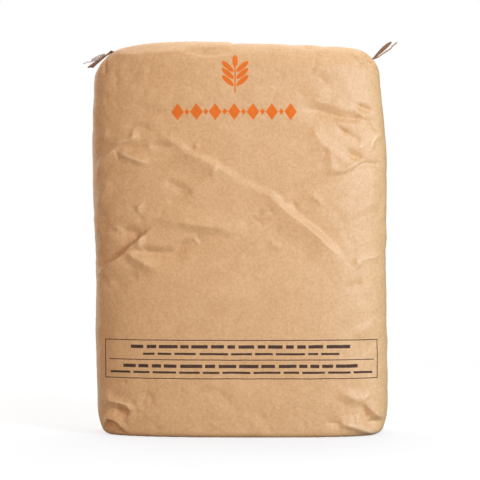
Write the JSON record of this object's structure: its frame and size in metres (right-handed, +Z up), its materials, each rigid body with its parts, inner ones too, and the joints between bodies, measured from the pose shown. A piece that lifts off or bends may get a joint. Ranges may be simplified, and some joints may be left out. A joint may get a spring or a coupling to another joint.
{
  "type": "bag of flour",
  "caption": "Large full kraft paper sack of flour, standing upright, its mouth closed by a sewn paper tape with loose thread ends.",
  "frame": {"origin": "middle of the flat bottom, on the surface that the sack stands on", "axes": "+Z up, the printed front faces -Y, +X to the right of someone who looks at the front"},
  "size_m": [0.4397, 0.1594, 0.5461],
  "materials": {
    "kraft_paper": "matte brown kraft paper with an orange and dark brown print",
    "crepe_tape": "dark brown creped paper tape",
    "cotton_thread": "undyed twisted cotton"
  },
  "bodies": {
    "root": {"sack": "kraft_paper", "closing_tape": "crepe_tape", "sewing_thread": "cotton_thread"}
  },
  "joints": []
}
